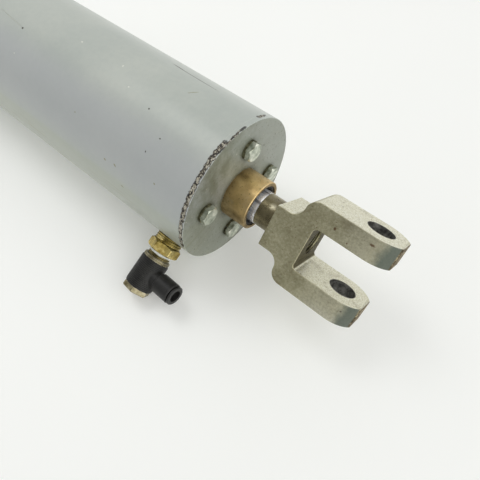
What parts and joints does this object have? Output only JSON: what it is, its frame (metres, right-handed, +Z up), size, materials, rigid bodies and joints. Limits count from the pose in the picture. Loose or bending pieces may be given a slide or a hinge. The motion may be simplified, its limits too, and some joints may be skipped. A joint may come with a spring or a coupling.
{
  "type": "pneumatic cylinder",
  "caption": "Large-bore air cylinder with a round painted barrel, bolted flush covers, bronze rod gland, forked rod clevis, rear pivot eye and push-in elbow fittings.",
  "frame": {"origin": "centre of the rear pivot bore", "axes": "+X along the cylinder from the rear pivot to the rod clevis, +Y along the rear pivot bore, +Z up as the cylinder lies on a flat surface, rod retracted"},
  "size_m": [0.6036, 0.1551, 0.1142],
  "materials": {
    "barrel_paint": "satin",
    "eye_casting": "satin",
    "head_alloy": "machined",
    "bolt_zinc": "zinc plated",
    "bronze": "satin",
    "fitting_brass": "machined",
    "rod_chrome": "polished",
    "clevis_steel": "tarnished",
    "inner_steel": "machined",
    "black_rubber": "matt",
    "bearing_plastic": "matt",
    "black_plastic": "fine grained",
    "white_sealant": "waxy"
  },
  "bodies": {
    "barrel": {"barrel_tube": "barrel_paint", "front_cover": "barrel_paint", "rear_cover": "barrel_paint", "rear_eye_mount": "eye_casting", "front_head": "head_alloy", "rear_head": "head_alloy", "front_cover_bolts": "bolt_zinc", "rear_cover_bolts": "bolt_zinc", "front_lock_washers": "inner_steel", "rear_lock_washers": "inner_steel", "rod_bushing": "bronze", "rear_pivot_bushing": "bronze", "front_key_ring": "inner_steel", "rear_key_ring": "inner_steel", "front_head_o_ring": "black_rubber", "rear_head_o_ring": "black_rubber", "rod_wiper": "black_rubber", "rod_seal": "black_rubber", "front_reducer_bushing": "fitting_brass", "front_thread_sealant": "white_sealant", "front_elbow_stem": "fitting_brass", "front_elbow_seals": "black_rubber", "rear_reducer_bushing": "fitting_brass", "rear_thread_sealant": "white_sealant", "rear_elbow_stem": "fitting_brass", "rear_elbow_seals": "black_rubber"},
    "piston_seal_set": {"piston_seals": "black_rubber", "piston_wear_ring": "bearing_plastic"},
    "rod_assembly": {"piston": "head_alloy", "piston_washer": "inner_steel", "piston_nut": "inner_steel", "piston_rod": "rod_chrome", "rod_clevis": "clevis_steel"},
    "front_elbow": {"front_elbow_body": "black_plastic", "front_tube_seal": "black_rubber", "front_grip_ring": "inner_steel"},
    "front_collar": {"front_release_collar": "black_plastic"},
    "rear_elbow": {"rear_elbow_body": "black_plastic", "rear_tube_seal": "black_rubber", "rear_grip_ring": "inner_steel"},
    "rear_collar": {"rear_release_collar": "black_plastic"}
  },
  "joints": [
    {"name": "rod_slide", "type": "slide", "parent": "barrel", "child": "piston_seal_set", "axis": [1, 0, 0], "range_m": [0, 0.3048]},
    {"name": "rod_spin", "type": "hinge", "parent": "piston_seal_set", "child": "rod_assembly", "pos_m": [0.49, 0, 0], "axis": [1, 0, 0], "continuous": true},
    {"name": "front_elbow_swivel", "type": "hinge", "parent": "barrel", "child": "front_elbow", "pos_m": [0.4437, -0.07881, -0.04016], "axis": [0, -0.891, -0.454], "continuous": true},
    {"name": "front_collar_press", "type": "slide", "parent": "front_elbow", "child": "front_collar", "axis": [-0.9962, 0.0396, -0.0777], "range_m": [0, 0.0011], "stiffness_N_per_m": 1500, "springref_m": -0.0005},
    {"name": "rear_elbow_swivel", "type": "hinge", "parent": "barrel", "child": "rear_elbow", "pos_m": [0.0611, -0.07881, -0.04016], "axis": [0, -0.891, -0.454], "continuous": true},
    {"name": "rear_collar_press", "type": "slide", "parent": "rear_elbow", "child": "rear_collar", "axis": [-0.9962, 0.0396, -0.0777], "range_m": [0, 0.0011], "stiffness_N_per_m": 1500, "springref_m": -0.0005}
  ]
}
